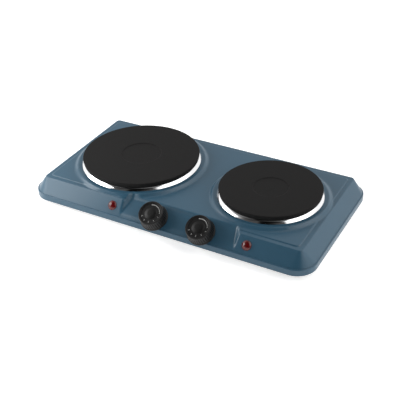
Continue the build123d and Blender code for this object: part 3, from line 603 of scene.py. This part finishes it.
def smooth_max(a, b, width):
    """Higher of two heights, with the corner between them rounded."""
    return -smooth_min(-a, -b, width)


def smooth_step(value, low, high):
    """Soft step from 0 at low to 1 at high."""
    t = np.clip((value - low) / (high - low), 0.0, 1.0)
    return t * t * (3 - 2 * t)


def loop_points(half_x, half_y, radius, counts):
    """Rounded rectangle from the left end of its front edge, anticlockwise from above."""
    along_x, along_y, corner = counts
    points = []
    ends = [(1, -1, -90), (1, 1, 0), (-1, 1, 90), (-1, -1, 180)]
    for i, (sx, sy, start) in enumerate(ends):
        px, py, _ = ends[i - 1]
        turned = math.radians(start)
        count = along_x if i % 2 == 0 else along_y
        to = np.array([sx * (half_x - radius), sy * (half_y - radius)])
        out = np.array([math.cos(turned), math.sin(turned)]) * radius
        begin = np.array([px * (half_x - radius), py * (half_y - radius)])
        t = np.arange(count)[:, None] / count
        points.append(begin + out + (to - begin) * t)
        a = turned + np.arange(corner) / corner * math.pi / 2
        points.append(to + radius * np.stack([np.cos(a), np.sin(a)], 1))
    return np.concatenate(points)


def housing_levels():
    """Loops from the skirt's lower edge to the middle: half sizes, corner radius, height, inset.

    The inset is measured inward from the crease, and is negative on the side."""
    half_x = CREASE_LENGTH / 2
    half_y = CREASE_DEPTH / 2
    levels = []
    for z in SKIRT_HEIGHTS:
        levels.append((LENGTH / 2, DEPTH / 2, BASE_CORNER_R, z, ON_SKIRT))
    for angle in np.linspace(0, math.pi / 2, SHOULDER_ROWS):
        inset = SHOULDER_ROUND * (1 - math.cos(angle))
        z = SHOULDER_Z - SHOULDER_ROUND * (1 - math.sin(angle))
        levels.append((LENGTH / 2 - inset, DEPTH / 2 - inset, BASE_CORNER_R - inset, z, ON_SKIRT))
    run_x = (LENGTH - CREASE_LENGTH) / 2 - SHOULDER_W
    run_y = (DEPTH - CREASE_DEPTH) / 2 - SHOULDER_W
    slope = math.atan2(CREASE_Z - SHOULDER_Z, run_y)
    tangent = EDGE_ROUND * math.tan(slope / 2)
    arc_foot = EDGE_ROUND * math.sin(slope) - tangent
    for t in np.linspace(0, 1 - arc_foot / run_y, SLOPE_ROWS):
        radius = (BASE_CORNER_R - SHOULDER_W) * (1 - t) + CREASE_R * t
        z = SHOULDER_Z + (CREASE_Z - SHOULDER_Z) * t
        down = 1 - t
        levels.append((half_x + run_x * down, half_y + run_y * down, radius, z, -run_y * down))
    for angle in np.linspace(slope, 0, EDGE_ROWS)[1:]:
        inset = tangent - EDGE_ROUND * math.sin(angle)
        z = CREASE_Z - EDGE_ROUND * (1 - math.cos(angle))
        levels.append((half_x - inset, half_y - inset, CREASE_R - min(inset, 0), z, inset))
    step_z = PLATEAU_Z - CREASE_Z
    for inset in np.arange(MARGIN_START, STEP_W - STEP_SOFT, MARGIN_SPACING):
        levels.append((half_x - inset, half_y - inset, CREASE_R + inset / 8, CREASE_Z, inset))
    for t in np.linspace(0, 1, STEP_ROWS):
        inset = STEP_W - STEP_SOFT + (STEP_RUN + 2 * STEP_SOFT) * t
        z = CREASE_Z + step_z * float(smooth_step(t, 0.0, 1.0))
        levels.append((half_x - inset, half_y - inset, PLATEAU_R + 1 - t, z, inset))
    inset = STEP_W + STEP_RUN + STEP_SOFT
    while inset < half_y - SPACING:
        inset += FINE_SPACING if inset < FINE_INSET else SPACING
        # The corner stays smaller than the loop, which closes on the middle.
        radius = max(min(PLATEAU_R, 0.9 * (half_y - inset)), 0.05)
        levels.append((half_x - inset, half_y - inset, radius, PLATEAU_Z, inset))
    return levels


def rim_heights(x, y, z, inset):
    """Raises the round rims round the plate holes, softly cut off at the crease."""
    height = RIM_Z - PLATEAU_Z
    for centre, radius in PLATES.values():
        out = np.hypot(x - centre, y) - (radius + RIM_WIDTH) - RIM_LIP
        foot = np.maximum(1 - out / (RIM_FOOT_W - RIM_LIP), 0.0)
        rim = smooth_min(RIM_Z + 0 * x, PLATEAU_Z + height * foot ** RIM_CURVE, RIM_SOFT)
        share = smooth_step((rim - PLATEAU_Z) / height, 0.0, RIM_FADE)
        share = share * smooth_step(inset, *CREASE_FADE)
        z = z + np.maximum(rim - z, 0.0) * share
    return z


def recess_heights(x, y, z):
    """Presses the control recess into the front: tilted floor, back wall and two end walls."""
    slope = math.tan(TILT)
    floor = PANEL_Z + (y - PANEL_Y) * slope
    foot_z = PANEL_Z + (PANEL_BACK_Y - PANEL_Y) * slope
    back = (foot_z + PLATEAU_Z) / 2 + (y - PANEL_BACK_Y) * BACK_WALL_SLOPE
    pressed = smooth_max(floor, back, PANEL_SOFT)
    for sign in (-1, 1):
        edge_x = CONTROL_X + sign * RECESS_HALF
        low = Vector((edge_x, PANEL_Y, PANEL_Z))
        crease = Vector((edge_x, -CREASE_DEPTH / 2, CREASE_Z))
        top = Vector((edge_x - sign * RECESS_TAPER_X, PANEL_BACK_Y, PLATEAU_Z))
        normal = (crease - low).cross(top - crease)
        wall = PANEL_Z - (normal.x * (x - edge_x) + normal.y * (y - PANEL_Y)) / normal.z
        pressed = smooth_max(pressed, wall, WALL_SOFT)
    return smooth_min(z, pressed, RECESS_SOFT)


def gland_pad(x, y, z):
    """Brings the back slope out to an upright pad for the cord bush, with its rows kept apart."""
    share = 1 - smooth_step(np.abs(x - GLAND_X), PAD_HALF - PAD_SOFT_IN, PAD_HALF + PAD_SOFT)
    share = share * (y > 0) * (1 - smooth_step(z, PAD_Z - PAD_SOFT, PAD_Z + PAD_SOFT))
    moved = DEPTH / 2 - y
    return y + moved * share, z + PAD_SPREAD * np.minimum(moved, SHOULDER_W) * share


def hole_cutters():
    """Closed tools for the plates, shafts, screws, lamps and the notch of the bush."""
    tools = []

    def drill(radius, place, half, segments=48):
        outline = [(0, -half), (radius, -half), (radius, half), (0, half)]
        mesh = lathe("tool", outline, segments)
        mesh.transform(place)
        tools.append(mesh)

    for centre, radius in PLATES.values():
        place = Matrix.Translation(Vector((centre, 0, RIM_Z)) * MM)
        drill(radius - HOLE_INSET, place, PLATE_DRILL, segments=192)
    for side in SIDES:
        drill(BUSH_R + FIT, knob_place(side), DRILL)
        for sign in (-1, 1):
            shift = Matrix.Translation((sign * SCREW_SPACING / 2 * MM, 0, 0))
            drill(M3_R + FIT, knob_place(side) @ shift, DRILL, segments=24)
        drill(LAMP_HOLE_R + FIT, lamp_place(side), DRILL)
    half = GLAND_NECK_R + FIT
    arc = [(half * math.cos(a), half * math.sin(a)) for a in np.linspace(0, math.pi, 25)]
    outline = [(half, -GLAND_Z)] + arc + [(-half, -GLAND_Z)]
    n = len(outline)
    vertices = [((GLAND_X + u) * MM, (DEPTH / 2 + v) * MM, (GLAND_Z + w) * MM)
                for v in (-DRILL, DRILL) for u, w in outline]
    faces = [tuple(range(n)), tuple(range(2 * n - 1, n - 1, -1))]
    faces += [(i, (i + 1) % n, (i + 1) % n + n, i + n) for i in range(n)]
    notch = bpy.data.meshes.new("tool")
    notch.from_pydata(vertices, [], faces)
    fix_normals(notch)
    tools.append(notch)
    return tools


def clean_cut(mesh):
    """Merges the points that coincide after a cut, and drops faces without area."""
    work = bmesh.new()
    work.from_mesh(mesh)
    bmesh.ops.remove_doubles(work, verts=work.verts, dist=SLIVER)
    bmesh.ops.dissolve_degenerate(work, dist=SLIVER, edges=work.edges)
    work.to_mesh(mesh)
    work.free()


def housing_surface():
    """Outer surface of the housing, open in the plate holes: points in metres, and faces."""
    levels = housing_levels()
    counts = (round(CREASE_LENGTH / SPACING), round(CREASE_DEPTH / SPACING), CORNER_STEPS)
    flat = np.stack([loop_points(hx, hy, r, counts) for hx, hy, r, _, _ in levels])
    x = flat[:, :, 0]
    y = flat[:, :, 1]
    z = np.repeat(np.array([level[3] for level in levels])[:, None], x.shape[1], 1)
    inset = np.repeat(np.array([level[4] for level in levels])[:, None], x.shape[1], 1)
    on_top = inset > ON_SKIRT
    z = np.where(on_top, rim_heights(x, y, z, inset), z)
    z = np.where(on_top, recess_heights(x, y, z), z)
    y, z = gland_pad(x, y, z)
    rows, n = x.shape
    index = np.arange(rows * n).reshape(rows, n)
    low, high = index[:-1], index[1:]
    quads = np.stack([low, np.roll(low, -1, 1), np.roll(high, -1, 1), high], -1)
    faces = quads.reshape(-1, 4).tolist()
    last = index[-1].tolist()
    back = 2 * counts[0] + counts[1] + 2 * counts[2]
    faces += [[last[i], last[i + 1], last[back - i - 1], last[back - i]] for i in range(counts[0])]
    points = np.stack([x, y, z], -1).reshape(-1, 3)
    keep = []
    for face in faces:
        middle = points[face].mean(0)
        gaps = [math.hypot(middle[0] - centre, middle[1]) - (radius - HOLE_INSET - HOLE_MARGIN)
                for centre, radius in PLATES.values()]
        if min(gaps) > 0:
            keep.append(face)
    used = np.unique(np.array(keep))
    renamed = {int(v): k for k, v in enumerate(used)}
    return (points[used] * MM).tolist(), [[renamed[v] for v in face] for face in keep]


def make_housing(looks):
    """The pressed shell as one smooth closed mesh with its holes."""
    points, faces = housing_surface()
    mesh = bpy.data.meshes.new("housing_shell")
    mesh.from_pydata(points, [], faces)
    mesh.update()
    shell = bpy.data.objects.new("shell_draft", mesh)
    bpy.context.scene.collection.objects.link(shell)
    thick = shell.modifiers.new("sheet", "SOLIDIFY")
    thick.thickness = SHEET * MM
    thick.offset = -1.0
    thick.use_even_offset = True
    cutter = bpy.data.objects.new("housing_tools", join_meshes("housing_tools", hole_cutters()))
    bpy.context.scene.collection.objects.link(cutter)
    cut = shell.modifiers.new("holes", "BOOLEAN")
    cut.operation = "DIFFERENCE"
    cut.solver = "EXACT"
    cut.object = cutter
    final = evaluated_mesh(shell)
    bpy.data.objects.remove(shell)
    bpy.data.objects.remove(cutter)
    clean_cut(final)
    piece = add_piece("housing_shell", final, looks["blue_paint"])
    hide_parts("top_housing")


# ---- plates and rings ---------------------------------------------------------------------------
ROUND = 256               # segments of the large turned pieces


def make_hotplates(looks):
    """Cast plates: a shallow dish in the middle, a sharp edge and the coil channel underneath."""
    for side, (x, radius) in PLATES.items():
        dish = radius / 3
        outline = rounded([
            (0, -DISH_DEPTH), (dish, -DISH_DEPTH, 1.0), (dish + 1.2, 0, 1.0), (radius - 0.5, 0, 1.3),
            (radius, -1.1, 1.2), (radius - 1.2, -PLATE_SIDE_H, 0.6),
            (radius - PLATE_LAND, -PLATE_SIDE_H - PLATE_LIP),
            (radius - PLATE_LAND, -PLATE_DEPTH, 0.8), (radius - CHANNEL_OUT, -PLATE_DEPTH, 0.8),
            (radius - CHANNEL_OUT, -PLATE_CAST, 1.5), (CHANNEL_IN, -PLATE_CAST, 1.5),
            (CHANNEL_IN, -PLATE_DEPTH, 0.8), (STUD_R, -PLATE_DEPTH), (STUD_R, -5.0), (0, -5.0),
        ])
        mesh = lathe(f"{side}_hotplate_casting", divided(outline, 6.0), ROUND)
        place = Matrix.Translation(Vector((x, 0, PLATE_TOP_Z)) * MM)
        piece = add_piece(mesh.name, mesh, looks["cast_iron"], place=place)
        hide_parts(f"{side}_hotplate")


def arc_through(start, middle, stop, steps):
    """Points of the arc through three points, by its circle."""
    (ax, ay), (bx, by), (cx, cy) = start, middle, stop
    d = 2 * (ax * (by - cy) + bx * (cy - ay) + cx * (ay - by))
    a2, b2, c2 = ax * ax + ay * ay, bx * bx + by * by, cx * cx + cy * cy
    ux = (a2 * (by - cy) + b2 * (cy - ay) + c2 * (ay - by)) / d
    uy = (a2 * (cx - bx) + b2 * (ax - cx) + c2 * (bx - ax)) / d
    radius = math.dist((ux, uy), start)
    first = math.atan2(ay - uy, ax - ux)
    sweep = (math.atan2(cy - uy, cx - ux) - first + math.pi) % (2 * math.pi) - math.pi
    return [(ux + radius * math.cos(first + sweep * k / steps),
             uy + radius * math.sin(first + sweep * k / steps)) for k in range(steps + 1)]


def make_trim_rings(looks):
    """Spill rings: a curved flange on the rim and a collar down into the hole."""
    for side, (x, radius) in PLATES.items():
        top = -PLATE_SIDE_H - PLATE_LIP
        low = RIM_Z - PLATE_TOP_Z
        outer = radius + RING_OUT
        collar = radius - HOLE_INSET - COLLAR_FIT
        foot = low - COLLAR_H
        outline = arc_through((outer, low), (outer - 2.2, low + 2.4), (collar + 1.4, top), steps=14)
        outline += [(collar - RING_SHEET, top), (collar - RING_SHEET, foot), (collar, foot)]
        outline += arc_through((collar, top - RING_SHEET - 0.4), (outer - 3.1, low + 2.2),
                               (outer - 0.9, low), steps=12)
        mesh = lathe(f"{side}_spill_ring", outline, ROUND)
        place = Matrix.Translation(Vector((x, 0, PLATE_TOP_Z)) * MM)
        piece = add_piece(mesh.name, mesh, looks["bright_steel"], place=place)
        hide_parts(f"{side}_trim_ring")


# ---- knobs --------------------------------------------------------------------------------------
RIB_DEPTH = 0.85
MARK_RADIUS = 13.4
MARK_T = 0.06
MARK_GAP = 0.005          # the marks float this far off the face
NUMERAL_SIZE = 3.4
NUMERAL_ANGLES = (-12, -46, -80, -112, -146)  # where 1 to 5 stand on the dial
ARC_DASHES = 10           # the dashes grow in width along the arc
DASH_START = 12           # in degrees, as are the pitch and the length
DASH_PITCH = 10
DASH_LENGTH = 7.4
DASH_W = 0.6
DASH_GROWTH = 0.05
BAND_STEPS = 40


def knob_place(side):
    """Frame on the recess floor at a knob's axis: local Z is the outward normal."""
    joint = next(j for j in frame["joints"] if j["child"] == f"{side}_control")
    normal = -Vector(joint["axis"]).normalized()
    return Matrix.Translation(Vector(joint["pos_m"])) @ facing(normal)


def knob_ribs(radius, height, angles):
    """Radii with grooves round the grip, faded out at its ends."""
    if radius < KNOB_TOP_R - 0.2:
        return np.full(len(angles), float(radius))
    low = KNOB_GAP + 3.2
    high = KNOB_H - KNOB_SINK
    on_grip = float(smooth_step(height, low, low + 1.0) - smooth_step(height, high - 1.0, high))
    groove = (0.5 - 0.5 * np.cos(KNOB_RIBS * angles)) ** 2
    return radius - RIB_DEPTH * on_grip * groove


def make_knobs(looks):
    """Knobs: a domed middle, a sunk ring for the marks, a ribbed grip, a foot and a hollow back."""
    top = KNOB_H
    face = top - KNOB_SINK
    bore = SHAFT_R + SHAFT_FIT
    outline = rounded([
        (0, top - 0.25), (5.0, top - 0.4, 6.0), (8.6, top - 1.2, 1.0), (9.6, face, 0.5),
        (KNOB_TOP_R - 2.9, face, 0.8), (KNOB_TOP_R - 2.0, top - 0.1, 0.5),
        (KNOB_TOP_R - 0.7, top, 0.5), (KNOB_TOP_R, top - 0.7, 0.6),
        (KNOB_TOP_R + 0.5, face, 0.3), (KNOB_BODY_R, KNOB_GAP + 3.0, 0.6),
        (KNOB_BASE_R - 0.2, KNOB_GAP + 2.2, 0.6), (KNOB_BASE_R, KNOB_GAP + 0.6, 0.5),
        (KNOB_BASE_R - 0.6, KNOB_GAP, 0.3), (KNOB_BASE_R - 2.4, KNOB_GAP, 0.3),
        (KNOB_BODY_R - KNOB_WALL, 6.0), (KNOB_TOP_R - KNOB_WALL, top - KNOB_ROOF, 0.6),
        (BOSS_R, top - KNOB_ROOF, 0.5), (BOSS_R, BOSS_FOOT, 0.3), (bore, BOSS_FOOT),
        (bore, SHAFT_TOP + SHAFT_END_FIT), (0, SHAFT_TOP + SHAFT_END_FIT),
    ])
    for side in SIDES:
        mesh = lathe(f"{side}_knob_moulding", divided(outline, 1.0), KNOB_RIBS * 12, knob_ribs)
        mesh.transform(knob_place(side))
        body = f"{side}_control"
        piece = add_piece(mesh.name, mesh, looks["black_plastic"], body, sharp=50.0)
        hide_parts(f"{side}_knob")
        make_dial_marks(side, looks)


def numeral_mesh(text, size, depth):
    """Printed numeral as a thin closed mesh, centred on its origin."""
    curve = bpy.data.curves.new("numeral", "FONT")
    curve.body = text
    curve.size = size * MM
    curve.extrude = depth / 2 * MM
    curve.align_x = "CENTER"
    curve.align_y = "CENTER"
    draft = bpy.data.objects.new("numeral", curve)
    bpy.context.scene.collection.objects.link(draft)
    mesh = evaluated_mesh(draft)
    bpy.data.objects.remove(draft)
    return mesh


def arc_band(radius, width, start, stop, depth):
    """Flat closed band along an arc; the angles are in degrees."""
    inner = radius - width / 2
    outer = radius + width / 2
    vertices = []
    for k in range(BAND_STEPS + 1):
        angle = math.radians(start + (stop - start) * k / BAND_STEPS)
        for r, z in ((inner, 0), (outer, 0), (outer, depth), (inner, depth)):
            vertices.append((r * math.cos(angle) * MM, r * math.sin(angle) * MM, z * MM))
    faces = [(0, 1, 2, 3), tuple(4 * BAND_STEPS + c for c in (3, 2, 1, 0))]
    for k in range(BAND_STEPS):
        a = 4 * k
        faces += [(a + c, a + (c + 1) % 4, a + 4 + (c + 1) % 4, a + 4 + c) for c in range(4)]
    mesh = bpy.data.meshes.new("band")
    mesh.from_pydata(vertices, [], faces)
    fix_normals(mesh)
    return mesh


def make_dial_marks(side, looks):
    """Generic printed scale on the knob's sunk face: a dashed arc and five numerals."""
    meshes = []
    for k in range(ARC_DASHES):
        start = DASH_START + DASH_PITCH * k
        width = DASH_W + DASH_GROWTH * k
        meshes.append(arc_band(MARK_RADIUS, width, start, start + DASH_LENGTH, MARK_T))
    for k, angle in enumerate(NUMERAL_ANGLES):
        mesh = numeral_mesh(str(k + 1), NUMERAL_SIZE, MARK_T)
        turn = Matrix.Rotation(math.radians(angle - 90), 4, "Z")
        mesh.transform(turn @ Matrix.Translation((0, MARK_RADIUS * MM, MARK_T / 2 * MM)))
        meshes.append(mesh)
    marks = join_meshes(f"{side}_dial_marks", meshes)
    lift = (KNOB_H - KNOB_SINK + MARK_GAP) * MM
    marks.transform(knob_place(side) @ Matrix.Translation((0, 0, lift)))
    # The record has no slot for the print, so it takes that of the other white plastic.
    add_piece(marks.name, marks, looks["print_white"], f"{side}_control")


# ---- pilot lamps --------------------------------------------------------------------------------
def lamp_place(side):
    """Frame in the middle of the sloped front at a lamp: local Z is the outward normal."""
    run = (DEPTH - CREASE_DEPTH) / 2 - SHOULDER_W
    rise = CREASE_Z - SHOULDER_Z
    normal = Vector((0, -rise, run)).normalized()
    spot = Vector((LAMP_X[side], -CREASE_DEPTH / 2 - run / 2, (CREASE_Z + SHOULDER_Z) / 2))
    return Matrix.Translation(spot * MM) @ facing(normal)


def make_lenses(looks):
    """Domed lenses, each with a hollow stem down through the housing."""
    rise = LAMP_DOME_H - LAMP_EDGE_H
    ball = (LAMP_R ** 2 + rise ** 2) / (2 * rise)
    half = math.asin(LAMP_R / ball)
    dome = [(ball * math.sin(half * t), LAMP_DOME_H - ball * (1 - math.cos(half * t)))
            for t in np.linspace(0, 1, 14)]
    stem = LAMP_HOLE_R - LAMP_WALL
    outline = dome + [(LAMP_R, 0), (LAMP_HOLE_R, 0), (LAMP_HOLE_R, -LAMP_STEM_H),
                      (stem, -LAMP_STEM_H), (stem, 0.2), (0, 1.2)]
    for side in SIDES:
        mesh = lathe(f"{side}_lens_moulding", outline, 96)
        mesh.transform(lamp_place(side))
        piece = add_piece(mesh.name, mesh, looks["red_lens"])
        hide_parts(f"{side}_lamp_lens")


# ---- scene --------------------------------------------------------------------------------------
FLOOR_HALF = 20.0         # in metres


def make_floor():
    """Plain pale floor."""
    mesh = bpy.data.meshes.new("floor")
    corners = [(x * FLOOR_HALF, y * FLOOR_HALF, 0) for x, y in ((-1, -1), (1, -1), (1, 1), (-1, 1))]
    mesh.from_pydata(corners, [], [(0, 1, 2, 3)])
    floor = bpy.data.objects.new("floor", mesh)
    bpy.context.scene.collection.objects.link(floor)
    look = Look("floor", Roughness=0.9, Specular_IOR_Level=0.2, Emission_Strength=0.46)
    look.shader.inputs["Emission Color"].default_value = (1.0, 1.0, 1.0, 1.0)
    clouds = look.ranged(look.noise(2.0, 2.0), 0.0, 1.0)
    look.color(look.mixed(clouds, (0.93, 0.93, 0.93), (0.95, 0.95, 0.95)))
    mesh.materials.append(look.material)


def dress_nodes(looks):
    """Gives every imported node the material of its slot."""
    slots = {part["node"]: part["material_slot"] for part in frame["record"]["subparts"]}
    for name, node in frame["nodes"].items():
        node.data.materials.clear()
        node.data.materials.append(looks[slots[name]])


make_camera()
make_world()
make_lights()
bpy.context.scene.view_settings.view_transform = "Standard"

looks = make_looks()
dress_nodes(looks)
make_floor()
make_housing(looks)
make_hotplates(looks)
make_trim_rings(looks)
make_knobs(looks)
make_lenses(looks)
